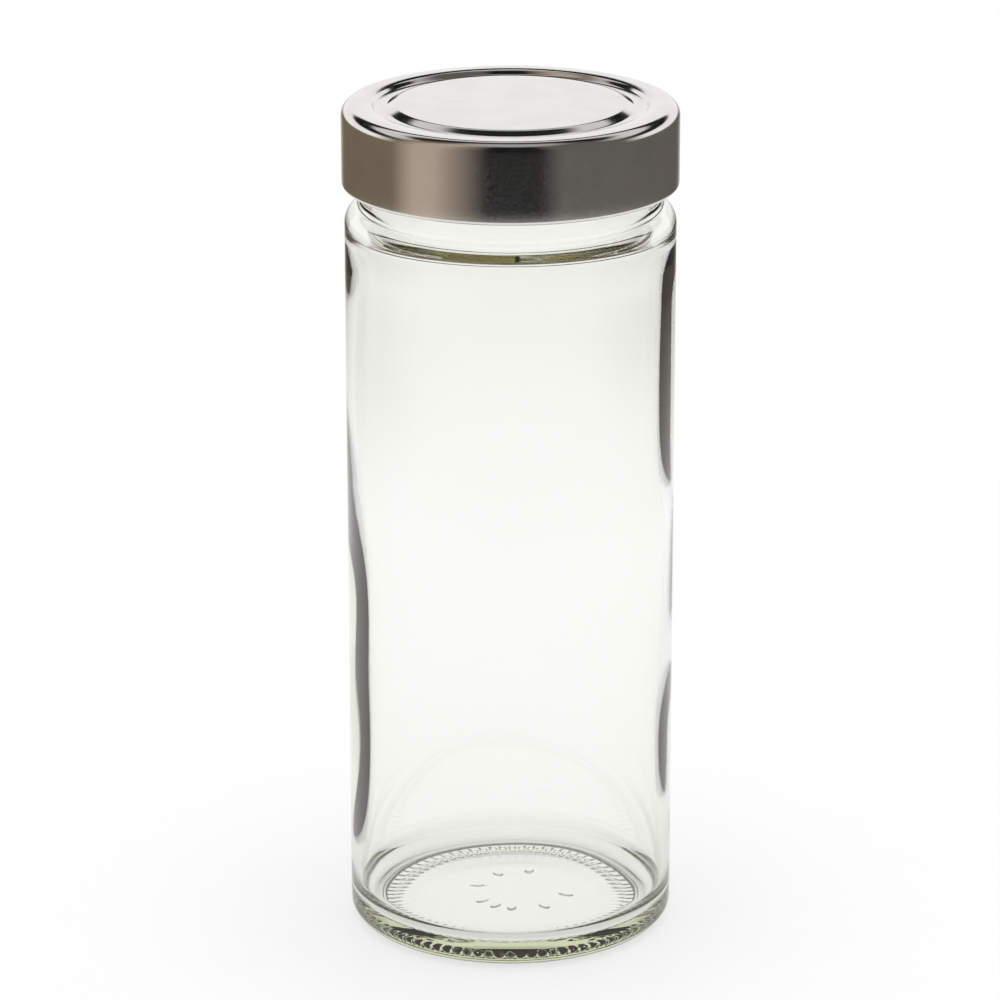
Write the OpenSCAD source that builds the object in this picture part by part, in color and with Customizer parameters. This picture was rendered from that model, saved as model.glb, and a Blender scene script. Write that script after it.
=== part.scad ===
// Straight-sided glass jar with a deep twist-off lid of plain tinplate.
// The origin is at the centre of the base, on the surface the jar stands on, with +Z up.
// The lid is set down on the rim with its lugs between the thread ridges.

/* [Lid] */
// Outside diameter of the lid
lid_d = 74; // [71:0.5:80]
// Height of the lid, from the lower edge of its curl to its top
lid_h = 18; // [14:0.5:24]
// Thickness of the tinplate
plate_t = 0.25; // [0.2:0.05:0.4]
// Radius of the lid's top edge
lid_edge_r = 1.6; // [1:0.1:2]
// Diameter of the rolled curl at the lid's lower edge
curl_d = 1.8; // [1.4:0.1:2.4]
// Depth of the groove pressed into the lid's top
groove_depth = 0.95; // [0.5:0.05:1.1]
// Width of the groove's outer wall, seen from above
groove_wall_w = 0.8; // [0.4:0.1:1.5]
// Width of the groove's flat floor
groove_floor_w = 2.3; // [1:0.1:4]
// Width of the slope that rises from the groove to the middle panel
panel_slope_w = 2.4; // [1:0.1:4]

/* [Lugs and thread] */
// Number of lugs on the lid, and of thread ridges on the neck
lug_count = 4; // [3:1:6]
// Angle that one lug covers
lug_span = 18; // [12:1:20]
// Free angle on each side of a lug as it passes between two ridges
lug_play = 5; // [3:0.5:8]
// How far a lug reaches in from the outside of the lid
lug_reach = 3.4; // [2.9:0.1:3.5]
// Thickness of a lug, which is the curl pressed flat
lug_t = 0.8; // [0.6:0.1:1.2]
// Turn of the first lug from the front towards the right
lug_turn = 12.5; // [0:0.5:90]
// How far a thread ridge stands out from the neck
ridge_depth = 1.75; // [1.2:0.05:1.9]
// Height of a thread ridge's round section
ridge_w = 2.2; // [2:0.1:3]
// How far a thread ridge falls along its length
ridge_drop = 1.2; // [0.4:0.1:2]

/* [Sealing ring] */
// Thickness of the sealing ring
seal_t = 1.2; // [1.1:0.1:2]

/* [Jar] */
// Height of the jar, from the surface it stands on to its rim
jar_h = 187.9; // [120:0.1:240]
// Outside diameter of the straight body
body_d = 72.9; // [72:0.1:90]
// Thickness of the body's wall
wall_t = 2.25; // [1.8:0.05:3]
// Thickness of the glass at the rim
rim_t = 2.2; // [2:0.1:3]
// Radius on both edges of the rim
rim_edge_r = 0.9; // [0.4:0.1:0.9]
// Outer radius of the shoulder
shoulder_r = 4; // [3.4:0.1:6]
// Height of the open gap between the lid and the shoulder
lid_gap = 4.4; // [3.5:0.1:8]
// Radius of the hollow where the neck meets the shoulder
neck_fillet_r = 2.2; // [1:0.1:3]

/* [Base] */
// Radius of the heel, where the body turns under
heel_r = 3.8; // [2:0.1:4.5]
// Thickness of the base beside the wall
base_t = 4.5; // [3.5:0.1:8]
// Radius inside the jar, where the wall meets the base
floor_fillet_r = 6; // [3:0.5:9]
// Rise of the base's upper face towards the middle
floor_rise = 1.4; // [0.5:0.1:3]
// Rise of the base's hollow underside towards the middle
punt_rise = 1.6; // [0.5:0.1:2.5]
// Inside diameter of the flat ring that the jar stands on
foot_ring_d = 56.8; // [50:0.2:60]
// Number of ribs in the knurled ring inside the foot ring
knurl_count = 72; // [36:1:90]
// Length of one rib
knurl_l = 2.5; // [1.5:0.1:4]
// Width of one rib
knurl_w = 1; // [0.6:0.1:1.2]
// Diameter of the circle that the mould code's dots lie on
dot_ring_d = 20.8; // [16:0.2:30]
// Shift of that circle to the right of the jar's middle
dot_ring_shift = 2.4; // [-3:0.1:3]
// Length of one dot
dot_l = 2.6; // [1.5:0.1:4]
// Width of one dot
dot_w = 1.3; // [0.8:0.1:1.4]

/* [Clearances] */
// Between the curl's inside and the thread ridges
ridge_clear = 0.35; // [0.2:0.05:0.6]
// Between a lug's upper side and the lower end of a ridge above it
lug_clear = 0.3; // [0.2:0.05:0.6]
// Between the sealing ring and the tinplate around it
seal_clear = 0.05; // [0.02:0.01:0.1]
// Between the jar's mouth and the groove's outer wall, seen from above
mouth_clear = 0.4; // [0.3:0.05:1]

/* [Hidden] */
$fn = 96;
overlap = 0.5;

// Radii, from the lid's outside inwards to the mouth.
lid_r = lid_d / 2;
curl_r = curl_d / 2;
ridge_r = lid_r - curl_d - ridge_clear;
neck_r = ridge_r - ridge_depth;
mouth_r = neck_r - rim_t;
groove_r = mouth_r - mouth_clear;
groove_floor_r = groove_r - groove_wall_w;
panel_foot_r = groove_floor_r - groove_floor_w;
panel_r = panel_foot_r - panel_slope_w;
seal_out_r = lid_r - lid_edge_r - seal_clear;
seal_in_r = groove_r + plate_t + seal_clear;
body_r = body_d / 2;
foot_in_r = foot_ring_d / 2;
punt_r = foot_in_r - knurl_l;

// Heights, from the rim up to the lid's top and down to the shoulder.
seal_high = jar_h + seal_t;
lid_high = seal_high + seal_clear + plate_t;
lid_low = lid_high - lid_h;
shoulder_z = lid_low - lid_gap;
lug_z = lid_low + curl_r;
ridge_low_z = lug_z + lug_t / 2 + lug_clear + ridge_w / 2;
ridge_mid_z = ridge_low_z + ridge_drop / 2;

// Angles of the lugs and ridges, anticlockwise from +X, seen from above.
lug_pitch = 360 / lug_count;
first_lug = lug_turn - 90;
first_ridge = first_lug + lug_pitch / 2;
ridge_span = lug_pitch - lug_span - 2 * lug_play;

// Places of the mould code's dots round their circle.
dot_angles = [80, 122, 165, 213, 236, 258, 300, 348];
dot_h = 0.35;

function cap_sphere_r(r, rise) = (r * r + rise * rise) / (2 * rise);

// Half section of a disc, with its lower and upper edges rounded.
module disc_profile(r, low, high, low_r = 0, high_r = 0) {
    translate([0, low + low_r]) square([r, high - high_r - low - low_r]);
    if (low_r > 0) {
        translate([0, low]) square([r - low_r, low_r + overlap]);
        translate([r - low_r, low + low_r]) circle(low_r);
    }
    if (high_r > 0) {
        translate([0, high - high_r - overlap]) square([r - high_r, high_r + overlap]);
        translate([r - high_r, high - high_r]) circle(high_r);
    }
}

// Half section of a low dome that rises by rise over a circle of radius r at height z.
module dome_profile(r, z, rise) {
    sphere_r = cap_sphere_r(r, rise);
    intersection() {
        translate([0, z + rise - sphere_r]) circle(sphere_r, $fn = 720);
        translate([0, z - overlap]) square([r, rise + 2 * overlap]);
    }
}

// Half section of a jar's shape: a straight body, a round shoulder and a straight neck, which meets
// the shoulder in a hollow of radius hollow_r.
module vessel_profile(r, low, low_r, top_z, top_r, neck, neck_high, hollow_r) {
    turn = [r - top_r, top_z - top_r];
    reach = top_r + hollow_r;
    overhang = max(0, neck + hollow_r - turn.x);
    hollow = [neck + hollow_r, turn.y + sqrt(reach * reach - overhang * overhang)];
    touch = hollow - [overhang, hollow.y - turn.y] * hollow_r / reach;
    disc_profile(r, low, top_z, low_r, top_r);
    translate([0, turn.y]) square([neck, neck_high - turn.y]);
    difference() {
        polygon([[neck - overlap, hollow.y], hollow, touch, [neck - overlap, turn.y]]);
        translate(hollow) circle(hollow_r);
    }
}

// Half section of the glass.
module glass_profile() {
    inner_shoulder_r = max(0.5, shoulder_r - wall_t);
    difference() {
        union() {
            vessel_profile(body_r, 0, heel_r, shoulder_z, shoulder_r, neck_r, jar_h - rim_edge_r, neck_fillet_r);
            disc_profile(neck_r, shoulder_z, jar_h, 0, rim_edge_r);
        }
        difference() {
            vessel_profile(body_r - wall_t, base_t, floor_fillet_r, shoulder_z - wall_t, inner_shoulder_r,
                mouth_r, jar_h + overlap, neck_fillet_r + rim_t);
            dome_profile(body_r - wall_t - floor_fillet_r, base_t, floor_rise);
        }
        rim_inner_edge_profile();
        underside_profile();
    }
}

// What the rim's rounded inner edge leaves free.
module rim_inner_edge_profile() {
    difference() {
        translate([mouth_r - overlap, jar_h - rim_edge_r]) square([rim_edge_r + overlap, rim_edge_r + overlap]);
        translate([mouth_r + rim_edge_r, jar_h - rim_edge_r]) circle(rim_edge_r);
    }
}

// The hollow under the base: a shallow step inside the foot ring, then a low dome.
module underside_profile() {
    translate([0, -overlap]) square([foot_in_r, knurl_w / 2 + overlap]);
    dome_profile(punt_r, knurl_w / 2, punt_rise);
}

// One thread ridge, with its middle on +X, which falls clockwise.
module thread_ridge() {
    mid_r = ridge_r - ridge_w / 2;
    tilt = asin(ridge_drop / (2 * mid_r * sin(ridge_span / 2)));
    rotate([tilt, 0, 0]) {
        rotate_extrude(angle = ridge_span, start = -ridge_span / 2) translate([mid_r, 0]) circle(d = ridge_w);
        for (side = [-1, 1])
            rotate([0, 0, side * ridge_span / 2]) translate([mid_r, 0, 0]) sphere(d = 0.98 * ridge_w);
    }
}

// The ribs of the knurled ring, which lie like spokes just inside the foot ring.
module knurled_ring() {
    for (i = [0 : knurl_count - 1])
        rotate([0, 0, i * 360 / knurl_count])
            translate([punt_r + knurl_w / 2, 0, knurl_w / 2 + 0.1])
                rotate([0, 90, 0]) cylinder(h = knurl_l - knurl_w / 2 + overlap, d = knurl_w, $fn = 24);
}

// The mould code: pointed dots that stand out from the underside.
module code_dots() {
    lens_r = (dot_l * dot_l + dot_w * dot_w) / (4 * dot_w);
    dome_r = cap_sphere_r(punt_r, punt_rise);
    under_z = knurl_w / 2 + punt_rise - dome_r + sqrt(dome_r * dome_r - dot_ring_d * dot_ring_d / 4);
    for (angle = dot_angles)
        translate([dot_ring_shift, 0, under_z - dot_h])
            rotate([0, 0, angle]) translate([dot_ring_d / 2, 0, 0])
                linear_extrude(dot_h + overlap) intersection_for (side = [-1, 1])
                    translate([0, side * (lens_r - dot_w / 2)]) circle(lens_r);
}

module glass_jar() {
    color([0.86, 0.92, 0.88, 0.45]) {
        rotate_extrude() glass_profile();
        for (i = [0 : lug_count - 1])
            rotate([0, 0, first_ridge + i * lug_pitch]) translate([0, 0, ridge_mid_z]) thread_ridge();
        knurled_ring();
        code_dots();
    }
}

// Half section of the lid's outer skin, moved inwards by inset. The groove's walls keep the same
// distance to the skin, which shifts their corners by the tangent of half their slope.
module lid_skin_profile(inset) {
    wall_shift = inset * tan(atan2(groove_depth, groove_wall_w) / 2);
    slope_shift = inset * tan(atan2(groove_depth, panel_slope_w) / 2);
    top = lid_high - inset;
    difference() {
        disc_profile(lid_r - inset, lug_z - (inset > 0 ? overlap : 0), top, 0, lid_edge_r - inset);
        polygon([
            [groove_r + wall_shift, top + overlap], [groove_r + wall_shift, top],
            [groove_floor_r + wall_shift, top - groove_depth], [panel_foot_r - slope_shift, top - groove_depth],
            [panel_r - slope_shift, top], [panel_r - slope_shift, top + overlap]
        ]);
    }
}

// Half section of the curl: the skirt's edge rolled inwards and up.
module curl_profile() {
    translate([lid_r - curl_r, lug_z]) difference() {
        circle(curl_r);
        circle(curl_r - plate_t);
        square(curl_d);
    }
}

// One lug, with its middle on +X: the curl pressed shut and drawn out inwards.
module lug() {
    tip = [lid_r - lug_reach + lug_t / 2, lug_z];
    root = [lid_r - curl_r, lug_z];
    rotate_extrude(angle = lug_span, start = -lug_span / 2) {
        translate(tip) circle(d = lug_t);
        translate(tip - [0, lug_t / 2]) square([root.x - tip.x, lug_t]);
        translate(root) circle(curl_r - plate_t / 2);
    }
}

module lid_shell() {
    color([0.72, 0.71, 0.69]) {
        rotate_extrude() {
            difference() {
                lid_skin_profile(0);
                lid_skin_profile(plate_t);
            }
            curl_profile();
        }
        for (i = [0 : lug_count - 1])
            rotate([0, 0, first_lug + i * lug_pitch]) lug();
    }
}

module sealing_ring() {
    edge_r = seal_t / 4;
    color([0.88, 0.87, 0.83])
        rotate_extrude() difference() {
            disc_profile(seal_out_r, jar_h, seal_high, edge_r, edge_r);
            translate([0, jar_h - overlap]) square([seal_in_r, seal_t + 2 * overlap]);
        }
}

glass_jar();
lid_shell();
sealing_ring();
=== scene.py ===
"""Looks of the spice jar: clear glass jar, tinplate twist-off lid and its sealing ring."""

import logging
import math
from dataclasses import dataclass
from enum import Enum
from typing import Any, Callable, NamedTuple

import bmesh
import bpy
from mathutils import Matrix, Vector


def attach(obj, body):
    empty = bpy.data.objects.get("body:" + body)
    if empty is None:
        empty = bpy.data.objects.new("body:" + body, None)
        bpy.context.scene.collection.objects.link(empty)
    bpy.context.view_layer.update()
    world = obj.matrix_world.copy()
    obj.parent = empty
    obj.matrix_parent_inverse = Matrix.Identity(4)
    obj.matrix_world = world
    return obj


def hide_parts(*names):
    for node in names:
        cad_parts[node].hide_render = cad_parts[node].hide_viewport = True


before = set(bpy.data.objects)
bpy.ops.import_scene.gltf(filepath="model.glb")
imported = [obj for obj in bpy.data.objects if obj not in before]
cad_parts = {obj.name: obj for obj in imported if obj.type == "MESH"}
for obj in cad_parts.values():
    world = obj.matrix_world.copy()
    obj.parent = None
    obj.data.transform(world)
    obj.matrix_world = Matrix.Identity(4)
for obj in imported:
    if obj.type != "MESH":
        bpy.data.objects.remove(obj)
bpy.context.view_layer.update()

log = logging.getLogger("spice_jar")

MM = 0.001
# points of a profile closer than this, in mm, are one point
SAME_POINT = 0.001
# a vertex this near to a surface's radius, in mm, belongs to it
NEAR = 0.01
# vertices closer than this, in metres, are merged
MERGE = 0.000002
# sockets of a Mix node for colours
MIX_A = 6
MIX_B = 7
MIX_OUT = 2

Point = tuple[float, float]
Stop = tuple[float, str | float]


class Body(Enum):
    """CAD bodies that the pieces ride on."""

    JAR = "jar"
    SEAL = "seal"
    LID = "lid"


class Slot(Enum):
    """Material slots of the record."""

    GLASS = "glass"
    TINPLATE = "tinplate"
    COMPOUND = "sealing_compound"


def linear(hex_colour: str) -> tuple[float, float, float, float]:
    """Turns a hex sRGB colour into a linear one.

    Args:
        hex_colour: colour such as "#D9D7D3".

    Returns:
        Linear red, green, blue and a full alpha.
    """
    values = []
    for start in (1, 3, 5):
        part = int(hex_colour[start : start + 2], 16) / 255
        values.append(part / 12.92 if part <= 0.04045 else ((part + 0.055) / 1.055) ** 2.4)
    return (values[0], values[1], values[2], 1.0)


def add_node(
    tree: bpy.types.NodeTree,
    kind: str,
    settings: dict[str, Any] | None = None,
    inputs: dict[str | int, Any] | None = None,
    stops: tuple[Stop, ...] = (),
    eased: bool = False,
) -> bpy.types.Node:
    """Adds one shader node with its settings, values, incoming links and colour stops.

    Args:
        tree: node tree that takes the node.
        kind: type name of the node.
        settings: attributes of the node.
        inputs: constants, output sockets or nodes to link, by the input's name or number.
        stops: places between 0 and 1 with hex colours or plain greys, for a colour ramp.
        eased: blend the stops with an eased curve.

    Returns:
        The new node.
    """
    node = tree.nodes.new(kind)
    for name, value in (settings or {}).items():
        setattr(node, name, value)
    for name, value in (inputs or {}).items():
        if isinstance(value, (bpy.types.NodeSocket, bpy.types.Node)):
            source = value.outputs[0] if isinstance(value, bpy.types.Node) else value
            tree.links.new(source, node.inputs[name])
        else:
            node.inputs[name].default_value = value
    if stops:
        band = node.color_ramp
        band.interpolation = "EASE" if eased else "LINEAR"
        while len(band.elements) < len(stops):
            band.elements.new(0.5)
        for element, (place, colour) in zip(band.elements, stops):
            element.position = place
            element.color = linear(colour) if isinstance(colour, str) else (colour, colour, colour, 1.0)
    return node


def axis_distance(tree: bpy.types.NodeTree, split: bpy.types.Node) -> bpy.types.NodeSocket:
    """Distance of a place from the jar's axis.

    Args:
        tree: node tree that takes the nodes.
        split: Separate XYZ node of the place.

    Returns:
        The socket with the distance in metres.
    """
    squares = [
        add_node(
            tree,
            "ShaderNodeMath",
            {"operation": "MULTIPLY"},
            {0: split.outputs[side], 1: split.outputs[side]},
        )
        for side in ("X", "Y")
    ]
    total = add_node(tree, "ShaderNodeMath", {"operation": "ADD"}, {0: squares[0], 1: squares[1]})
    return add_node(tree, "ShaderNodeMath", {"operation": "SQRT"}, {0: total}).outputs[0]


def new_material(name: str) -> tuple[bpy.types.Material, bpy.types.NodeTree, bpy.types.Node]:
    """Makes an empty node material with its output node.

    Args:
        name: name of the material.

    Returns:
        The material, its node tree and the output node.
    """
    material = bpy.data.materials.new(name)
    material.use_nodes = True
    tree = material.node_tree
    tree.nodes.clear()
    return material, tree, add_node(tree, "ShaderNodeOutputMaterial")


@dataclass(frozen=True)
class MouldedGlass:
    """Machine-moulded soda-lime glass: clear in the wall, olive green where light runs far inside it."""

    tint: str = "#FFFFFE"
    ior: float = 1.52
    absorbed: str = "#C6CF92"
    density: float = 14.0
    most_rough: float = 0.02

    def build(self) -> bpy.types.Material:
        """Makes the material.

        Returns:
            The material, with a faint grain in its polish.
        """
        # fire-polished after moulding: the eye sees a wet gloss, thin dark edges and hardly any colour
        material, tree, output = new_material("Soda-lime glass, moulded")
        place = add_node(tree, "ShaderNodeTexCoord")
        # faint grain left by the mould, about 2.5 mm across
        grain = add_node(
            tree,
            "ShaderNodeTexNoise",
            inputs={"Scale": 400.0, "Detail": 2.0, "Vector": place.outputs["Object"]},
        )
        skin = add_node(
            tree,
            "ShaderNodeMapRange",
            inputs={"From Min": 0.35, "From Max": 0.75, "To Max": self.most_rough, "Value": grain},
        )
        surface = add_node(
            tree,
            "ShaderNodeBsdfPrincipled",
            inputs={
                "Base Color": linear(self.tint),
                "IOR": self.ior,
                "Transmission Weight": 1.0,
                "Roughness": skin,
            },
        )
        # a trace of iron takes out red and blue on long paths, as along the base
        volume = add_node(
            tree,
            "ShaderNodeVolumeAbsorption",
            inputs={"Color": linear(self.absorbed), "Density": self.density},
        )
        tree.links.new(surface.outputs[0], output.inputs["Surface"])
        tree.links.new(volume.outputs[0], output.inputs["Volume"])
        return material


@dataclass(frozen=True)
class PressedTinplate:
    """Electrolytic tinplate, pressed and lacquered: bright on top, satin with fine specks on the skirt."""

    bright: str = "#E7E5E1"
    worn: str = "#E2E0DC"
    lacquer: str = "#ACA37C"
    smooth: float = 0.1
    satin: float = 0.15
    speck_rough: float = 0.16
    bright_above: float = 0.1889
    satin_below: float = 0.1872
    lacquer_in_r: float = 0.03687
    lacquer_top: float = 0.1868
    lacquer_low: float = 0.1736

    def lacquered(self, tree: bpy.types.NodeTree, split: bpy.types.Node) -> bpy.types.NodeSocket:
        """Marks the inside of the skirt, which carries the golden food lacquer.

        Args:
            tree: node tree that takes the nodes.
            split: Separate XYZ node of the place.

        Returns:
            The socket, 1 on the lacquer and 0 elsewhere.
        """
        height = split.outputs["Z"]
        tests = [
            add_node(tree, "ShaderNodeMath", {"operation": operation}, {0: value, 1: limit})
            for operation, value, limit in (
                ("LESS_THAN", axis_distance(tree, split), self.lacquer_in_r),
                ("LESS_THAN", height, self.lacquer_top),
                ("GREATER_THAN", height, self.lacquer_low),
            )
        ]
        both = add_node(tree, "ShaderNodeMath", {"operation": "MULTIPLY"}, {0: tests[0], 1: tests[1]})
        return add_node(
            tree, "ShaderNodeMath", {"operation": "MULTIPLY"}, {0: both, 1: tests[2]}
        ).outputs[0]

    def build(self) -> bpy.types.Material:
        """Makes the material.

        Returns:
            The material, smoother on the lid's flat top than on the skirt.
        """
        # rolled, tinned and lacquered: the eye sees soft upright bands round the skirt and a mirror on top
        material, tree, output = new_material("Tinplate, pressed and lacquered")
        place = add_node(tree, "ShaderNodeTexCoord")
        spot = place.outputs["Object"]
        split = add_node(tree, "ShaderNodeSeparateXYZ", inputs={0: spot})
        # the finish turns from bright to satin between 0.5 and 2.2 mm below the flat top
        side = add_node(
            tree,
            "ShaderNodeMapRange",
            inputs={
                "From Min": self.bright_above,
                "From Max": self.satin_below,
                "Value": split.outputs["Z"],
            },
        )
        # specks of the lacquer, about 0.5 mm apart
        specks = add_node(
            tree,
            "ShaderNodeTexNoise",
            inputs={"Scale": 2000.0, "Detail": 3.0, "Roughness": 0.7, "Vector": spot},
        )
        # handling marks, about 8 mm across
        marks = add_node(
            tree, "ShaderNodeTexNoise", inputs={"Scale": 120.0, "Detail": 3.0, "Vector": spot}
        )
        plate = add_node(
            tree,
            "ShaderNodeValToRGB",
            inputs={0: marks},
            stops=((0.35, self.worn), (0.6, self.bright)),
            eased=True,
        )
        colour = add_node(
            tree,
            "ShaderNodeMix",
            {"data_type": "RGBA"},
            {0: self.lacquered(tree, split), MIX_A: plate, MIX_B: linear(self.lacquer)},
        )
        base_rough = add_node(
            tree,
            "ShaderNodeMapRange",
            inputs={"To Min": self.smooth, "To Max": self.satin, "Value": side},
        )
        centred = add_node(tree, "ShaderNodeMath", {"operation": "SUBTRACT"}, {0: specks, 1: 0.5})
        speckled = add_node(
            tree, "ShaderNodeMath", {"operation": "MULTIPLY"}, {0: centred, 1: self.speck_rough}
        )
        rough = add_node(
            tree,
            "ShaderNodeMath",
            {"operation": "ADD", "use_clamp": True},
            {0: base_rough, 1: speckled},
        )
        height = add_node(tree, "ShaderNodeMath", {"operation": "MULTIPLY"}, {0: specks, 1: side})
        bump = add_node(
            tree, "ShaderNodeBump", inputs={"Strength": 0.12, "Distance": 0.00002, "Height": height}
        )
        surface = add_node(
            tree,
            "ShaderNodeBsdfPrincipled",
            inputs={
                "Metallic": 1.0,
                "Base Color": colour.outputs[MIX_OUT],
                "Roughness": rough,
                "Normal": bump,
            },
        )
        tree.links.new(surface.outputs[0], output.inputs["Surface"])
        return material


@dataclass(frozen=True)
class Plastisol:
    """Flowed-in plastisol sealing compound: off-white, matt and slightly soft."""

    pale: str = "#DDD9CD"
    dull: str = "#CFC9B9"
    roughness: float = 0.52
    ior: float = 1.54

    def build(self) -> bpy.types.Material:
        """Makes the material.

        Returns:
            The material, with a faint mottle.
        """
        # flowed in wet and cured: the eye sees an even, dull band with soft edges
        material, tree, output = new_material("Plastisol, flowed in and cured")
        place = add_node(tree, "ShaderNodeTexCoord")
        # mottle of the cured compound, about 3 mm across
        mottle = add_node(
            tree,
            "ShaderNodeTexNoise",
            inputs={"Scale": 330.0, "Detail": 3.0, "Vector": place.outputs["Object"]},
        )
        colour = add_node(
            tree,
            "ShaderNodeValToRGB",
            inputs={0: mottle},
            stops=((0.35, self.dull), (0.65, self.pale)),
            eased=True,
        )
        bump = add_node(
            tree, "ShaderNodeBump", inputs={"Strength": 0.2, "Distance": 0.00005, "Height": mottle}
        )
        surface = add_node(
            tree,
            "ShaderNodeBsdfPrincipled",
            inputs={"Roughness": self.roughness, "IOR": self.ior, "Base Color": colour, "Normal": bump},
        )
        tree.links.new(surface.outputs[0], output.inputs["Surface"])
        return material


def arc(centre: Point, radius: float, start: float, end: float, steps: int) -> list[Point]:
    """Points along an arc of a lathe profile.

    Args:
        centre: centre as distance from the axis and height, in mm.
        radius: radius in mm.
        start: first angle in degrees.
        end: last angle in degrees.
        steps: number of segments.

    Returns:
        The points, first and last ones included.
    """
    turns = [math.radians(start + (end - start) * i / steps) for i in range(steps + 1)]
    return [(centre[0] + radius * math.cos(t), centre[1] + radius * math.sin(t)) for t in turns]


def line(start: Point, end: Point, steps: int) -> list[Point]:
    """Points along a straight part of a lathe profile.

    Args:
        start: first point in mm.
        end: last point in mm.
        steps: number of segments.

    Returns:
        The points, first and last ones included.
    """
    return [
        (start[0] + (end[0] - start[0]) * i / steps, start[1] + (end[1] - start[1]) * i / steps)
        for i in range(steps + 1)
    ]


def ease(value: float, low: float, high: float) -> float:
    """Smooth step from 0 at low to 1 at high.

    Args:
        value: place to look up.
        low: where the step starts.
        high: where the step ends, below low for a step that falls.

    Returns:
        Height of the step between 0 and 1.
    """
    t = min(1.0, max(0.0, (value - low) / (high - low)))
    return t * t * (3 - 2 * t)


def turn_off(angle: float, place: float) -> float:
    """Signed angle from a place to another one.

    Args:
        angle: angle in degrees.
        place: angle to measure from, in degrees.

    Returns:
        The difference between -180 and 180 degrees.
    """
    return (angle - place + 180) % 360 - 180


def lathe(name: str, profile: list[Point], steps: int, closed: bool = False) -> bpy.types.Object:
    """Turns a profile round the jar's axis, by extruding a vertex along it and spinning it.

    Args:
        name: name of the new object.
        profile: points as distance from the axis and height, in mm.
        steps: number of segments round the axis.
        closed: join the last point to the first one.

    Returns:
        The closed, smooth mesh object at the origin.
    """
    points: list[Point] = []
    for point in profile:
        if not points or math.dist(point, points[-1]) > SAME_POINT:
            points.append(point)
    if closed and math.dist(points[0], points[-1]) < SAME_POINT:
        points.pop()
    bpy.ops.object.select_all(action="DESELECT")
    bpy.ops.mesh.primitive_plane_add(size=MM, location=(0, 0, 0))
    made = bpy.context.active_object
    made.name = name
    bpy.ops.object.mode_set(mode="EDIT")
    bpy.ops.mesh.select_all(action="SELECT")
    bpy.ops.mesh.merge(type="CENTER")
    bpy.ops.transform.translate(value=(points[0][0] * MM, 0, points[0][1] * MM))
    for before, after in zip(points, points[1:]):
        step = ((after[0] - before[0]) * MM, 0, (after[1] - before[1]) * MM)
        bpy.ops.mesh.extrude_region_move(TRANSFORM_OT_translate={"value": step})
    if closed:
        mesh = bmesh.from_edit_mesh(made.data)
        mesh.edges.new([v for v in mesh.verts if len(v.link_edges) == 1])
        bmesh.update_edit_mesh(made.data)
    bpy.ops.mesh.select_all(action="SELECT")
    bpy.ops.mesh.spin(steps=steps, angle=math.tau, center=(0, 0, 0), axis=(0, 0, 1))
    bpy.ops.mesh.select_all(action="SELECT")
    bpy.ops.mesh.remove_doubles(threshold=MERGE)
    bpy.ops.mesh.normals_make_consistent(inside=False)
    bpy.ops.object.mode_set(mode="OBJECT")
    bpy.ops.object.shade_smooth()
    return made


def reshape(piece: bpy.types.Object, rule: Callable[[float, float, float], Point]) -> None:
    """Moves each vertex within its own half-plane through the axis.

    Args:
        piece: turned object.
        rule: takes distance from the axis and height in mm and angle in degrees, gives the new point.
    """
    for vertex in piece.data.vertices:
        x, y, z = vertex.co
        reach = math.hypot(x, y)
        if reach < MERGE / 2:
            continue
        angle = math.degrees(math.atan2(y, x))
        new_reach, new_z = rule(reach / MM, z / MM, angle)
        scale = new_reach * MM / reach
        vertex.co = (x * scale, y * scale, new_z * MM)
    piece.data.update()


class Wave(NamedTuple):
    """One wave of the inside wall: its height in mm, waves round the jar, pitch in mm and phase."""

    height: float
    count: int
    pitch: float
    phase: float


class Swell(NamedTuple):
    """A place where the wall is thicker: middle and half width in degrees, extra thickness in mm.

    It grows from grow_from to grow_to and fades from fade_from to fade_to, heights in mm.
    The ripple is the share of it that waves up and down.
    """

    middle: float
    half_width: float
    extra: float
    grow_from: float
    grow_to: float
    fade_from: float = 300.0
    fade_to: float = 400.0
    ripple: float = 0.0


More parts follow.
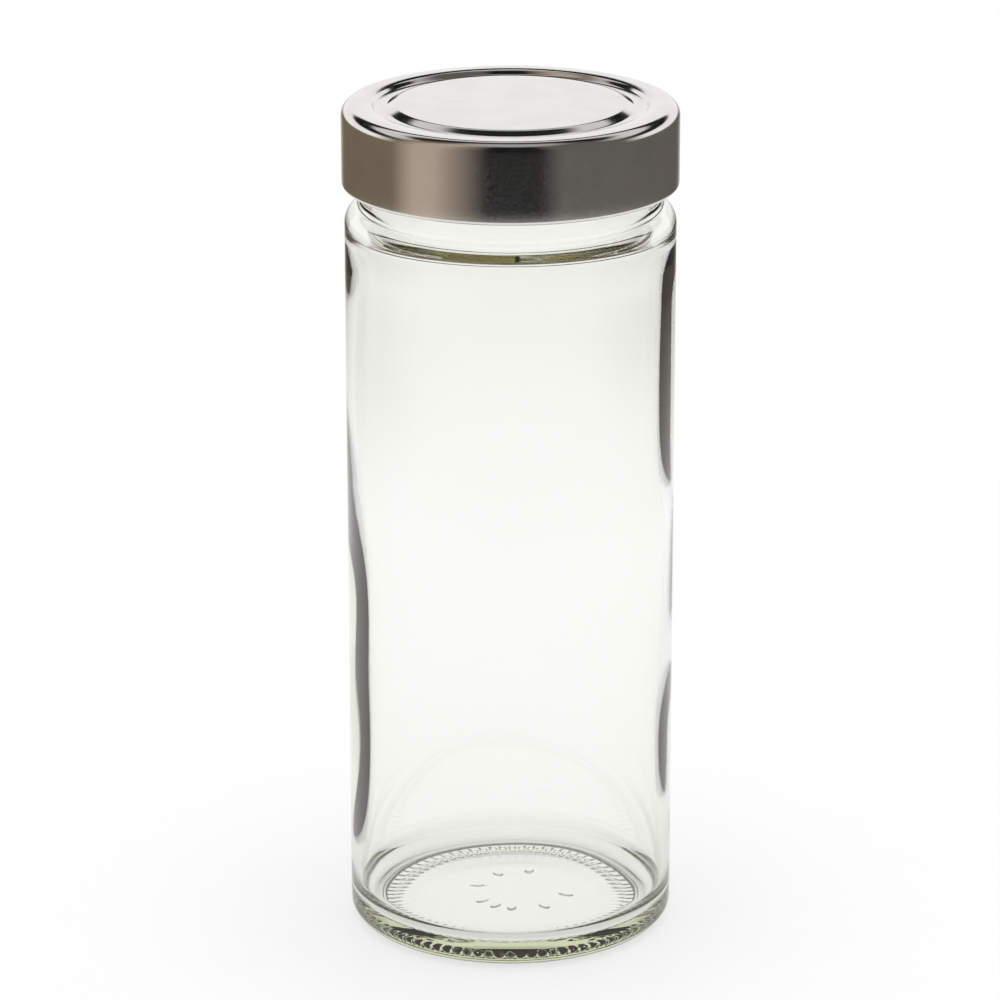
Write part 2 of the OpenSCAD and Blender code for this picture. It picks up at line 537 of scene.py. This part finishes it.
@dataclass
class GlassJar:
    """Moulded jar with neck thread, round shoulder, punted base, knurled ring and code dots.

    All sizes are in mm and repeat the CAD part's, apart from the inside of the wall and of the
    shoulder, which are thicker in places, as blown glass is.
    """

    neck_r: float = 33.1
    mouth_r: float = 30.9
    rim_z: float = 187.9
    rim_edge_r: float = 0.9
    body_r: float = 36.45
    wall_t: float = 2.25
    shoulder_centre: Point = (32.45, 163.0)
    shoulder_r: float = 4.0
    hollow_r: float = 2.2
    inner_shoulder_r: float = 5.6
    inner_shoulder_z: float = 158.6
    inner_hollow_r: float = 0.8
    heel_r: float = 3.8
    base_t: float = 4.5
    floor_fillet: float = 6.0
    floor_rise: float = 1.4
    foot_in_r: float = 28.4
    punt_r: float = 25.9
    step_h: float = 0.5
    punt_rise: float = 1.6
    underside_to: float = 3.0
    knurls: int = 72
    knurl_h: float = 0.4
    knurl_fade: float = 0.5
    ridges: int = 4
    ridge_z: float = 174.7
    ridge_r: float = 33.75
    ridge_half_d: float = 1.1
    ridge_mid: float = -32.5
    ridge_span: float = 62.0
    ridge_end: float = 4.0
    ridge_fall: float = 1.2
    thread_top: float = 177.5
    thread_low: float = 171.9
    thread_zone: Point = (171.0, 178.0)
    dot_ring_r: float = 10.4
    dot_ring_x: float = 2.4
    dot_half_long: float = 1.45
    dot_half_wide: float = 0.95
    dot_h: float = 0.35
    dots: tuple[float, ...] = (80, 122, 165, 213, 236, 258, 300, 348)
    wave_base: float = 0.16
    waves: tuple[Wave, ...] = (
        Wave(0.07, 3, 17.0, 0.0),
        Wave(0.05, 5, -11.0, 1.3),
        Wave(0.05, 2, 7.5, 0.6),
    )
    swells: tuple[Swell, ...] = (
        Swell(178, 34, 1.7, 14, 34, 78, 100, 0.15),
        Swell(178, 34, 0.2, 118, 150),
        Swell(2, 30, 0.75, 96, 118, 150, 166),
        Swell(2, 30, 0.6, 22, 38, 46, 60),
    )
    ripple_pitch: float = 5.5
    steps: int = 432

    def inside_profile(self) -> list[Point]:
        """Half section from the middle of the floor up the inside to the mouth.

        Returns:
            The points in mm.
        """
        in_r = self.body_r - self.wall_t
        in_x = self.mouth_r + self.inner_hollow_r
        low = (in_r - self.inner_shoulder_r, self.inner_shoulder_z)
        between = self.inner_shoulder_r + self.inner_hollow_r
        in_z = low[1] + math.sqrt(between**2 - (in_x - low[0]) ** 2)
        lean = math.degrees(math.atan2(in_z - low[1], in_x - low[0]))
        floor_r = in_r - self.floor_fillet
        fillet_z = self.base_t + self.floor_fillet
        points = [
            (floor_r * i / 9, self.base_t + self.floor_rise * (1 - (i / 9) ** 2)) for i in range(10)
        ]
        points += arc((floor_r, fillet_z), self.floor_fillet, -90, 0, 10)
        points += line((in_r, fillet_z), (in_r, low[1]), 32)
        points += arc(low, self.inner_shoulder_r, 0, lean, 10)
        points += arc((in_x, in_z), self.inner_hollow_r, 180 + lean, 180, 6)
        points += line((self.mouth_r, in_z), (self.mouth_r, self.rim_z - self.rim_edge_r), 3)
        return points

    def outside_profile(self) -> list[Point]:
        """Half section from the mouth over the rim and down the outside to the middle of the base.

        Returns:
            The points in mm.
        """
        centre = self.shoulder_centre
        hollow_x = self.neck_r + self.hollow_r
        between = self.shoulder_r + self.hollow_r
        out_z = centre[1] + math.sqrt(between**2 - (hollow_x - centre[0]) ** 2)
        lean = math.degrees(math.atan2(out_z - centre[1], hollow_x - centre[0]))
        edge_z = self.rim_z - self.rim_edge_r
        foot_r = self.body_r - self.heel_r
        points = arc((self.mouth_r + self.rim_edge_r, edge_z), self.rim_edge_r, 180, 90, 5)
        points += arc((self.neck_r - self.rim_edge_r, edge_z), self.rim_edge_r, 90, 0, 5)
        points += line((self.neck_r, edge_z), (self.neck_r, self.thread_top), 2)
        points += line((self.neck_r, self.thread_top), (self.neck_r, self.thread_low), 16)
        points += line((self.neck_r, self.thread_low), (self.neck_r, out_z), 2)
        points += arc((hollow_x, out_z), self.hollow_r, 180, 180 + lean, 8)
        points += arc(centre, self.shoulder_r, lean, 0, 9)
        points += line((self.body_r, centre[1]), (self.body_r, self.heel_r), 10)
        points += arc((foot_r, self.heel_r), self.heel_r, 0, -90, 10)
        points += line((foot_r, 0), (self.foot_in_r, 0), 2)
        points += line((self.foot_in_r - 0.02, self.step_h), (self.punt_r, self.step_h), 5)
        # the rings of the punt lie close together where the dots are
        for reach in [22.5, 19.0, 16.5] + [14.6 - 0.36 * i for i in range(24)] + [4.5, 2.5, 0]:
            rise = self.punt_rise * (1 - (reach / self.punt_r) ** 2)
            points.append((reach, self.step_h + rise))
        return points

    def inside_wall(self, z: float, angle: float) -> float:
        """Extra thickness of the wall inwards, as blown glass has it.

        Args:
            z: height in mm.
            angle: angle in degrees.

        Returns:
            The extra thickness in mm, never below 0.
        """
        turn = math.radians(angle)
        extra = self.wave_base
        for wave in self.waves:
            extra += wave.height * math.sin(wave.count * turn + z / wave.pitch + wave.phase)
        for swell in self.swells:
            size = swell.extra * ease(abs(turn_off(angle, swell.middle)), swell.half_width, 0)
            size *= ease(z, swell.grow_from, swell.grow_to) * ease(z, swell.fade_to, swell.fade_from)
            size *= 1 - swell.ripple + swell.ripple * math.sin(z / self.ripple_pitch)
            extra += size
        # the wall is even again above the floor's fillet and below the shoulder
        return max(0.0, extra) * ease(z, 9, 20) * ease(z, 158.5, 150)

    def knurl(self, reach: float, angle: float) -> float:
        """Height of the knurled ring's ribs at a place on the underside.

        Args:
            reach: distance from the axis in mm.
            angle: angle in degrees.

        Returns:
            The height of the rib in mm.
        """
        rib = 0.5 + 0.5 * math.cos(math.radians(self.knurls * angle))
        inner = ease(reach, self.punt_r, self.punt_r + self.knurl_fade)
        outer = ease(reach, self.foot_in_r, self.foot_in_r - self.knurl_fade)
        return self.knurl_h * rib * inner * outer

    def thread(self, reach: float, z: float, angle: float) -> float:
        """Distance from the axis of the neck where the thread ridges stand out of it.

        Args:
            reach: distance of the plain neck in mm.
            z: height in mm.
            angle: angle in degrees.

        Returns:
            The distance from the axis in mm.
        """
        half = self.ridge_span / 2
        for turn in range(self.ridges):
            off = turn_off(angle, self.ridge_mid + 360 / self.ridges * turn)
            rise = z - (self.ridge_z + self.ridge_fall * off / self.ridge_span)
            if abs(off) <= half and abs(rise) < self.ridge_half_d:
                fade = math.sqrt(max(0.0, 1 - ease(abs(off), half - self.ridge_end, half) ** 2))
                top = self.ridge_r + math.sqrt(self.ridge_half_d**2 - rise * rise)
                return reach + max(0.0, top - reach) * fade
        return reach

    def dot(self, reach: float, angle: float) -> float:
        """Height of the mould-code dots at a place on the underside.

        Args:
            reach: distance from the axis in mm.
            angle: angle in degrees.

        Returns:
            The height of the dot in mm, 0 beside the dots.
        """
        x = reach * math.cos(math.radians(angle)) - self.dot_ring_x
        y = reach * math.sin(math.radians(angle))
        for turn in self.dots:
            c = math.cos(math.radians(turn))
            s = math.sin(math.radians(turn))
            along = (x * c + y * s - self.dot_ring_r) / self.dot_half_long
            across = (-x * s + y * c) / self.dot_half_wide
            swell = 1 - along * along - across * across
            if swell > 0:
                return self.dot_h * math.sqrt(swell)
        return 0.0

    def mould(self, reach: float, z: float, angle: float) -> Point:
        """Moulded and blown details of the turned jar.

        Args:
            reach: distance from the axis in mm.
            z: height in mm.
            angle: angle in degrees.

        Returns:
            The new distance from the axis and height in mm.
        """
        if abs(reach - (self.body_r - self.wall_t)) < NEAR and z > self.base_t:
            return reach - self.inside_wall(z, angle), z
        if abs(reach - self.neck_r) < NEAR and self.thread_zone[0] < z < self.thread_zone[1]:
            return self.thread(reach, z, angle), z
        if z > self.underside_to:
            return reach, z
        if self.punt_r < reach < self.foot_in_r - NEAR and z > self.step_h / 2:
            return reach, z - self.knurl(reach, angle)
        if reach < self.punt_r - 1:
            return reach, z - self.dot(reach, angle)
        return reach, z

    def build(self) -> bpy.types.Object:
        """Turns and moulds the jar.

        Returns:
            The closed glass mesh.
        """
        profile = self.inside_profile() + self.outside_profile()
        jar = lathe("glass_jar_visual", profile, self.steps)
        reshape(jar, self.mould)
        return jar

    def dress(self, jar: bpy.types.Object, finish: MouldedGlass) -> None:
        """Gives the jar its finish and its place in the frame.

        Args:
            jar: built mesh.
            finish: glass to use.
        """
        jar.data.materials.append(finish.build())
        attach(jar, Body.JAR.value)
        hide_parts("glass_jar")


@dataclass
class TinLid:
    """Deep twist-off lid pressed from tinplate, with a rolled curl and four lugs.

    All sizes are in mm and repeat the CAD part's, apart from the top edge, which is rounder.
    """

    lid_r: float = 37.0
    top_z: float = 189.4
    plate_t: float = 0.25
    edge_r: float = 2.4
    edge_flat: float = 1.6
    curl_r: float = 0.9
    curl_z: float = 172.3
    curl_sweep: float = 250.0
    tuck_r: float = 0.25
    tuck_shift: Point = (0.35, 0.95)
    inside_low: float = 1.6
    groove_depth: float = 0.95
    groove_out: Point = (30.5, 29.7)
    groove_in: Point = (27.4, 25.0)
    panel_edge: float = 1.2
    slope_blend: float = 0.16
    lug_reach_r: float = 33.6
    lug_t: float = 0.8
    lug_span: float = 18.0
    first_lug: float = -77.5
    lug_count: int = 4
    sharp_over: float = 40.0
    steps: int = 256

    def slope(self, start: Point, end: Point, steps: int) -> list[Point]:
        """Cone between two flats, with short blends at both ends.

        Args:
            start: first point in mm.
            end: last point in mm.
            steps: number of segments.

        Returns:
            The points in mm.
        """
        blend = self.slope_blend
        points = []
        for i in range(steps + 1):
            t = i / steps
            if t < blend:
                rise = t * t / (2 * blend)
            elif t > 1 - blend:
                rise = 1 - blend - (1 - t) ** 2 / (2 * blend)
            else:
                rise = t - blend / 2
            rise /= 1 - blend
            points.append((start[0] + (end[0] - start[0]) * t, start[1] + (end[1] - start[1]) * rise))
        return points

    def skin(self, inset: float) -> list[Point]:
        """One face of the plate, from the middle of the panel to the top of the skirt.

        Args:
            inset: how far the face lies under the outside, in mm.

        Returns:
            The points in mm.
        """
        top = self.top_z - inset
        low = top - self.groove_depth
        shift = inset / 2
        edge_x = self.lid_r - self.edge_r
        points = line((0, top), (self.groove_in[1] - self.panel_edge, top), 8)
        points += self.slope((self.groove_in[1] - shift, top), (self.groove_in[0] - shift, low), 10)
        points += self.slope((self.groove_out[1] + shift, low), (self.groove_out[0] + shift, top), 8)
        points += line((edge_x - self.edge_flat, top), (edge_x, top), 2)
        points += arc((edge_x, self.top_z - self.edge_r), self.edge_r - inset, 90, 0, 10)
        return points

    def profile(self) -> list[Point]:
        """Half section of the plate with its curl.

        Returns:
            The points in mm, from the middle outside to the middle inside.
        """
        curl_x = self.lid_r - self.curl_r
        edge_z = self.top_z - self.edge_r
        tuck = (curl_x + self.tuck_shift[0], self.curl_z + self.tuck_shift[1])
        inner = self.lid_r - self.plate_t
        points = self.skin(0)
        points += line((self.lid_r, edge_z), (self.lid_r, self.curl_z), 5)
        points += arc((curl_x, self.curl_z), self.curl_r, 0, -self.curl_sweep, 22)
        points += arc(tuck, self.tuck_r, 180, 90, 3)
        points += line((inner, self.curl_z + self.inside_low), (inner, edge_z), 5)
        points += list(reversed(self.skin(self.plate_t)))
        return points

    def lug(self, place: float) -> bpy.types.Object:
        """One lug pressed inwards from the curl: a flat oval bar, spun along the skirt.

        Args:
            place: angle of its middle in degrees.

        Returns:
            The lug as a closed mesh.
        """
        root = self.lid_r - self.curl_r
        middle = (self.lug_reach_r + root) / 2
        stretch = (root - self.lug_reach_r - self.lug_t) / 2 * MM
        bpy.ops.object.select_all(action="DESELECT")
        bpy.ops.mesh.primitive_circle_add(
            vertices=20, radius=self.lug_t / 2 * MM, fill_type="NGON", location=(0, 0, 0)
        )
        made = bpy.context.active_object
        made.name = "lid_lug"
        for vertex in made.data.vertices:
            x, y, _ = vertex.co
            vertex.co = (middle * MM + x + math.copysign(stretch, x), 0, self.curl_z * MM + y)
        bpy.ops.object.mode_set(mode="EDIT")
        bpy.ops.mesh.select_all(action="SELECT")
        bpy.ops.mesh.spin(steps=8, angle=math.radians(self.lug_span), center=(0, 0, 0), axis=(0, 0, 1))
        bpy.ops.mesh.select_mode(type="VERT")
        bpy.ops.mesh.select_all(action="DESELECT")
        bpy.ops.mesh.select_non_manifold()
        bpy.ops.object.mode_set(mode="OBJECT")
        still_open = any(v.select for v in made.data.vertices)
        bpy.ops.object.mode_set(mode="EDIT")
        if still_open:
            bpy.ops.mesh.edge_face_add()
        bpy.ops.mesh.select_all(action="SELECT")
        bpy.ops.mesh.normals_make_consistent(inside=False)
        bpy.ops.object.mode_set(mode="OBJECT")
        centre = sum((v.co for v in made.data.vertices), Vector()) / len(made.data.vertices)
        now = math.atan2(centre.y, centre.x)
        made.data.transform(Matrix.Rotation(math.radians(place) - now, 4, "Z"))
        bpy.ops.object.shade_smooth_by_angle(angle=math.radians(self.sharp_over))
        return made

    def build(self) -> bpy.types.Object:
        """Turns the shell, adds the lugs and joins them.

        Returns:
            The lid mesh.
        """
        shell = lathe("lid_shell_visual", self.profile(), self.steps)
        lugs = [self.lug(self.first_lug + 360 / self.lug_count * i) for i in range(self.lug_count)]
        bpy.ops.object.select_all(action="DESELECT")
        for part in [*lugs, shell]:
            part.select_set(True)
        bpy.context.view_layer.objects.active = shell
        bpy.ops.object.join()
        return shell

    def dress(self, lid: bpy.types.Object, finish: PressedTinplate) -> None:
        """Gives the lid its finish and its place in the frame.

        Args:
            lid: built mesh.
            finish: tinplate to use.
        """
        lid.data.materials.append(finish.build())
        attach(lid, Body.LID.value)
        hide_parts("lid_shell")


@dataclass
class SealingRing:
    """Ring of compound in the lid's channel, with the faint track that the rim presses into it.

    All sizes are in mm and repeat the CAD part's, apart from the track and the rounded corners.
    """

    in_r: float = 30.8
    out_r: float = 35.35
    low_z: float = 187.9
    high_z: float = 189.1
    corner_r: float = 0.3
    track_depth: float = 0.12
    track_in_r: float = 31.3
    track_w: float = 1.7
    track_steps: int = 12
    steps: int = 192

    def build(self) -> bpy.types.Object:
        """Turns the ring.

        Returns:
            The closed ring mesh.
        """
        c = self.corner_r
        points = arc((self.in_r + c, self.low_z + c), c, 180, 270, 4)
        for i in range(self.track_steps + 1):
            share = i / self.track_steps
            dip = self.track_depth * math.sin(math.pi * share) ** 2
            points.append((self.track_in_r + self.track_w * share, self.low_z + dip))
        points += arc((self.out_r - c, self.low_z + c), c, -90, 0, 4)
        points += arc((self.out_r - c, self.high_z - c), c, 0, 90, 4)
        points += arc((self.in_r + c, self.high_z - c), c, 90, 180, 4)
        return lathe("sealing_ring_visual", points, self.steps, closed=True)

    def dress(self, ring: bpy.types.Object, finish: Plastisol) -> None:
        """Gives the ring its finish and its place in the frame.

        Args:
            ring: built mesh.
            finish: compound to use.
        """
        ring.data.materials.append(finish.build())
        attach(ring, Body.SEAL.value)
        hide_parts("sealing_ring")


class Bounces(NamedTuple):
    """Sockets that tell what a light path has met so far."""

    mirrored: bpy.types.NodeSocket
    inside: bpy.types.NodeSocket
    guided: bpy.types.NodeSocket


@dataclass(frozen=True)
class Studio:
    """Pale floor, white surroundings and the dark and bright fields that the shiny surfaces mirror."""

    floor_r: float = 4.0
    floor_z: float = -0.0002
    floor_colour: str = "#FBFBFB"
    floor_shade: str = "#F9F9F9"
    # after this many mirror bounces inside the glass, light gets a painted dark shade
    guided_after: float = 6.5
    painted_guided_shade: str = "#47403B"
    overhead_tone: str = "#A8A8A8"
    # what stands round the studio: start and end in degrees to the right of the front, and tone
    # white sweep behind, warm grey wall, pale card, dark gap round the camera, grey wall, white sweep
    fittings: tuple[tuple[float, float, str], ...] = (
        (-180, -172, "#E0E0E0"),
        (-155, -85, "#746858"),
        (-68, -52, "#B8A898"),
        (-16, 20, "#0A0A0A"),
        (34, 155, "#625E5A"),
        (172, 180, "#E0E0E0"),
    )
    # brightness behind, from the horizon to straight above: glow, dark gap, wall, gap, softbox
    rear: tuple[Stop, ...] = (
        (0.0, "#FFFFFF"),
        (20 / 90, "#FBFBFB"),
        (20 / 90 + 0.025, "#141414"),
        (34 / 90, "#141414"),
        (34 / 90 + 0.04, "#E0E0E0"),
        (0.55, "#D8D8D8"),
        (0.61, "#202020"),
        (70 / 90, "#1C1C1C"),
        (70 / 90 + 0.08, "#A8A8A8"),
    )
    # painted light and shade that light inside the glass picks up, from the front to behind: light tinted
    # with the glass's own olive in front, dark towards the sides, white behind
    through: tuple[Stop, ...] = (
        (0.0, "#A8AE84"),
        (0.3, "#8E9470"),
        (0.4, "#2C2927"),
        (0.68, "#7C746C"),
        (0.8, "#A49C94"),
        (0.88, "#FFFFFF"),
    )
    # how far the floor glows plain white, by its distance from the axis as a share of plain_reach; under the
    # jar's clear base the glow is a painted pool of light
    floor_glow_share: tuple[Stop, ...] = (
        (0.052, 0.86),
        (0.07, 0.62),
        (0.1, 0.62),
        (0.22, 0.85),
        (0.7, 1.0),
    )
    plain_reach: float = 0.5
    white_board_to: float = 0.3
    fields_from: float = 0.54
    most_bounces: int = 24
    shiny_bounces: int = 16
    lamp_size: float = 0.9
    lamp_watts: float = 2.0
    lamp_place: tuple[float, float, float] = (0.1, 0.15, 1.3)

    def bounces(self, tree: bpy.types.NodeTree) -> Bounces:
        """Tests of the light path.

        Args:
            tree: node tree that takes the nodes.

        Returns:
            Whether it was mirrored, went into the glass, and was guided along inside it.
        """
        depths = add_node(tree, "ShaderNodeLightPath").outputs
        more = {"operation": "GREATER_THAN"}
        return Bounces(
            add_node(tree, "ShaderNodeMath", more, {0: depths["Glossy Depth"], 1: 0.5}).outputs[0],
            add_node(tree, "ShaderNodeMath", more, {0: depths["Transmission Depth"], 1: 0.5}).outputs[0],
            add_node(
                tree, "ShaderNodeMath", more, {0: depths["Glossy Depth"], 1: self.guided_after}
            ).outputs[0],
        )

    def mirrored_field(
        self, tree: bpy.types.NodeTree, direction: bpy.types.NodeSocket
    ) -> bpy.types.NodeSocket:
        """Brightness that a shiny surface mirrors at low elevations, by compass direction.

        Args:
            tree: node tree that takes the nodes.
            direction: output socket with the direction or place as a vector.

        Returns:
            The colour socket; the front is at the middle of the ramp.
        """
        split = add_node(tree, "ShaderNodeSeparateXYZ", inputs={0: direction})
        forward = add_node(
            tree, "ShaderNodeMath", {"operation": "MULTIPLY"}, {0: split.outputs["Y"], 1: -1.0}
        )
        turn = add_node(
            tree, "ShaderNodeMath", {"operation": "ARCTAN2"}, {0: split.outputs["X"], 1: forward}
        )
        share = add_node(tree, "ShaderNodeMath", {"operation": "DIVIDE"}, {0: turn, 1: math.tau})
        centred = add_node(tree, "ShaderNodeMath", {"operation": "ADD"}, {0: share, 1: 0.5})
        stops: list[Stop] = []
        for start, end, tone in self.fittings:
            stops += [(0.5 + start / 360, tone), (0.5 + end / 360, tone)]
        return add_node(tree, "ShaderNodeValToRGB", inputs={0: centred}, stops=tuple(stops)).outputs[0]

    def painted_glass_field(
        self,
        tree: bpy.types.NodeTree,
        direction: bpy.types.NodeSocket,
        guided: bpy.types.NodeSocket,
    ) -> bpy.types.NodeSocket:
        """Painted light and shade that light bounced inside the glass picks up: white behind, darker
        elsewhere.

        Args:
            tree: node tree that takes the nodes.
            direction: output socket with the direction or place as a vector.
            guided: 1 for light that went round the wall in many bounces, which gets a painted dim shade.

        Returns:
            The colour socket.
        """
        unit = add_node(tree, "ShaderNodeVectorMath", {"operation": "NORMALIZE"}, {0: direction})
        split = add_node(tree, "ShaderNodeSeparateXYZ", inputs={0: unit})
        half = add_node(
            tree, "ShaderNodeMath", {"operation": "MULTIPLY"}, {0: split.outputs["Y"], 1: 0.5}
        )
        back = add_node(tree, "ShaderNodeMath", {"operation": "ADD"}, {0: half, 1: 0.5})
        field = add_node(tree, "ShaderNodeValToRGB", inputs={0: back}, stops=self.through)
        # light guided round the wall gets a painted dark shade in place of the field
        return add_node(
            tree,
            "ShaderNodeMix",
            {"data_type": "RGBA"},
            {0: guided, MIX_A: field, MIX_B: linear(self.painted_guided_shade)},
        ).outputs[MIX_OUT]

    def sky_field(
        self,
        tree: bpy.types.NodeTree,
        direction: bpy.types.NodeSocket,
        low: bpy.types.NodeSocket,
    ) -> bpy.types.NodeSocket:
        """Brightness that a shiny surface mirrors, over the whole sphere.

        Args:
            tree: node tree that takes the nodes.
            direction: output socket with the direction.
            low: colour socket of the field along the horizon.

        Returns:
            The colour socket.
        """
        split = add_node(tree, "ShaderNodeSeparateXYZ", inputs={0: direction})
        angle = add_node(tree, "ShaderNodeMath", {"operation": "ARCSINE"}, {0: split.outputs["Z"]})
        # 0 at the horizon and 1 straight above
        lift = add_node(
            tree, "ShaderNodeMath", {"operation": "DIVIDE"}, {0: angle, 1: math.radians(90)}
        )
        rear = add_node(tree, "ShaderNodeValToRGB", inputs={0: lift}, stops=self.rear)
        overhead = add_node(
            tree, "ShaderNodeValToRGB", inputs={0: lift}, stops=((0.70, "#000000"), (0.84, "#FFFFFF"))
        )
        front = add_node(
            tree,
            "ShaderNodeMix",
            {"data_type": "RGBA"},
            {0: overhead, MIX_A: low, MIX_B: linear(self.overhead_tone)},
        )
        # what stands behind takes over from just in front of the jar's axis
        backward = add_node(
            tree,
            "ShaderNodeMapRange",
            inputs={"From Min": -0.12, "From Max": 0.25, "Value": split.outputs["Y"]},
        )
        above = add_node(
            tree,
            "ShaderNodeMix",
            {"data_type": "RGBA"},
            {0: backward, MIX_A: front.outputs[MIX_OUT], MIX_B: rear},
        )
        # below the horizon mirrors see what they see along it
        below = add_node(
            tree,
            "ShaderNodeMapRange",
            inputs={"From Min": 0.03, "From Max": -0.03, "Value": split.outputs["Z"]},
        )
        return add_node(
            tree,
            "ShaderNodeMix",
            {"data_type": "RGBA"},
            {0: below, MIX_A: above.outputs[MIX_OUT], MIX_B: low},
        ).outputs[MIX_OUT]

    def build_world(self) -> None:
        """Makes the world: plain white for what is seen directly or through the glass, fields for mirrors."""
        world = bpy.data.worlds.new("Studio surroundings")
        bpy.context.scene.world = world
        # light runs a long way inside the thick base before it leaves
        bpy.context.scene.cycles.max_bounces = self.most_bounces
        bpy.context.scene.cycles.glossy_bounces = self.shiny_bounces
        bpy.context.scene.cycles.transmission_bounces = self.shiny_bounces
        world.use_nodes = True
        tree = world.node_tree
        tree.nodes.clear()
        direction = add_node(tree, "ShaderNodeTexCoord").outputs["Generated"]
        tests = self.bounces(tree)
        low = self.mirrored_field(tree, direction)
        # light that went into the glass picks up painted light and shade instead of the studio fields
        fields = add_node(
            tree,
            "ShaderNodeMix",
            {"data_type": "RGBA"},
            {
                0: tests.inside,
                MIX_A: self.sky_field(tree, direction, low),
                MIX_B: self.painted_glass_field(tree, direction, tests.guided),
            },
        )
        white = add_node(tree, "ShaderNodeBackground", inputs={"Color": (1, 1, 1, 1), "Strength": 1.0})
        seen = add_node(
            tree, "ShaderNodeBackground", inputs={"Strength": 1.0, "Color": fields.outputs[MIX_OUT]}
        )
        chosen = add_node(tree, "ShaderNodeMixShader", inputs={0: tests.mirrored, 1: white, 2: seen})
        add_node(tree, "ShaderNodeOutputWorld", inputs={"Surface": chosen})

    def floor_material(self) -> bpy.types.Material:
        """Makes the floor's finish.

        Returns:
            White painted board, which mirrors show as the studio's dark and pale fields.
        """
        # rolled on matt: the eye sees white with only the jar's soft shadow on it
        material, tree, output = new_material("Board, painted matt white")
        spot = add_node(tree, "ShaderNodeTexCoord").outputs["Object"]
        # faint roller texture about 20 mm across
        roller = add_node(
            tree, "ShaderNodeTexNoise", inputs={"Scale": 50.0, "Detail": 2.0, "Vector": spot}
        )
        colour = add_node(
            tree,
            "ShaderNodeValToRGB",
            inputs={0: roller},
            stops=((0.3, self.floor_shade), (0.7, self.floor_colour)),
            eased=True,
        )
        board = add_node(
            tree,
            "ShaderNodeBsdfPrincipled",
            inputs={"Roughness": 0.5, "Specular IOR Level": 0.2, "Base Color": colour},
        )
        tests = self.bounces(tree)
        # light that went into the glass picks up painted light and shade instead of the studio fields
        fields = add_node(
            tree,
            "ShaderNodeMix",
            {"data_type": "RGBA"},
            {
                0: tests.inside,
                MIX_A: self.mirrored_field(tree, spot),
                MIX_B: self.painted_glass_field(tree, spot, tests.guided),
            },
        )
        seen = add_node(
            tree, "ShaderNodeEmission", inputs={"Strength": 1.0, "Color": fields.outputs[MIX_OUT]}
        )
        split = add_node(tree, "ShaderNodeSeparateXYZ", inputs={0: spot})
        reach = axis_distance(tree, split)
        # close to the jar even mirrors see the white board
        away = add_node(
            tree,
            "ShaderNodeMapRange",
            inputs={"From Min": self.white_board_to, "From Max": self.fields_from, "Value": reach},
        )
        either = add_node(tree, "ShaderNodeMath", {"operation": "MAXIMUM"}, {0: away, 1: tests.guided})
        factor = add_node(
            tree, "ShaderNodeMath", {"operation": "MULTIPLY"}, {0: tests.mirrored, 1: either}
        )
        # away from the jar the board glows to nearly plain white, and under its clear base it glows nearly
        # white too, as a painted pool of light
        share = add_node(
            tree, "ShaderNodeMath", {"operation": "DIVIDE"}, {0: reach, 1: self.plain_reach}
        )
        # share of the white glow: full far away, a painted pool of light under the clear base, weaker near
        # the foot where the real shadow shows
        far = add_node(
            tree, "ShaderNodeValToRGB", inputs={0: share}, stops=self.floor_glow_share, eased=True
        )
        white_glow = add_node(tree, "ShaderNodeEmission", inputs={"Color": (1, 1, 1, 1), "Strength": 1.0})
        plain = add_node(tree, "ShaderNodeMixShader", inputs={0: far, 1: board, 2: white_glow})
        chosen = add_node(tree, "ShaderNodeMixShader", inputs={0: factor, 1: plain, 2: seen})
        tree.links.new(chosen.outputs[0], output.inputs["Surface"])
        return material

    def build_floor(self) -> None:
        """Makes the round pale floor under the jar."""
        bpy.ops.object.select_all(action="DESELECT")
        bpy.ops.mesh.primitive_circle_add(
            vertices=96, radius=self.floor_r, fill_type="NGON", location=(0, 0, self.floor_z)
        )
        floor = bpy.context.active_object
        floor.name = "floor"
        floor.data.materials.append(self.floor_material())

    def build_light(self) -> None:
        """Makes the soft lamp above the jar, which gives the floor its faint shadow."""
        data = bpy.data.lights.new("softbox", "AREA")
        data.shape = "DISK"
        data.size = self.lamp_size
        data.energy = self.lamp_watts
        lamp = bpy.data.objects.new("softbox", data)
        lamp.location = self.lamp_place
        lamp.visible_glossy = False
        lamp.visible_transmission = False
        bpy.context.scene.collection.objects.link(lamp)


@dataclass(frozen=True)
class ShopCamera:
    """Camera of the shop photograph, fitted to the jar's outlines."""

    distance: float = 1.0178
    height: float = 0.4379
    down: float = 18.46
    lens: float = 172.65
    sensor: float = 36.0
    shift_x: float = -0.0105

    def build(self) -> None:
        """Makes the camera and hands it to the scene."""
        data = bpy.data.cameras.new("shop_camera")
        data.lens = self.lens
        data.sensor_width = self.sensor
        data.shift_x = self.shift_x
        data.clip_start = 0.05
        data.clip_end = 50.0
        camera = bpy.data.objects.new("shop_camera", data)
        camera.location = (0.0, -self.distance, self.height)
        camera.rotation_euler = (math.radians(90 - self.down), 0.0, 0.0)
        bpy.context.scene.collection.objects.link(camera)
        bpy.context.scene.camera = camera
        bpy.context.scene.view_settings.view_transform = "Standard"


def main() -> None:
    """Builds the jar, the ring and the lid, then the studio and the camera."""
    logging.basicConfig(level=logging.INFO, format="%(name)s %(message)s")
    jar = GlassJar()
    glass = jar.build()
    jar.dress(glass, MouldedGlass())
    log.info("glass jar: %d faces", len(glass.data.polygons))
    ring = SealingRing()
    compound = ring.build()
    ring.dress(compound, Plastisol())
    log.info("sealing ring: %d faces", len(compound.data.polygons))
    lid = TinLid()
    tin = lid.build()
    lid.dress(tin, PressedTinplate())
    log.info("lid: %d faces", len(tin.data.polygons))
    studio = Studio()
    studio.build_world()
    studio.build_floor()
    studio.build_light()
    ShopCamera().build()
    log.info("studio and camera made")


if __name__ == "__main__":
    main()
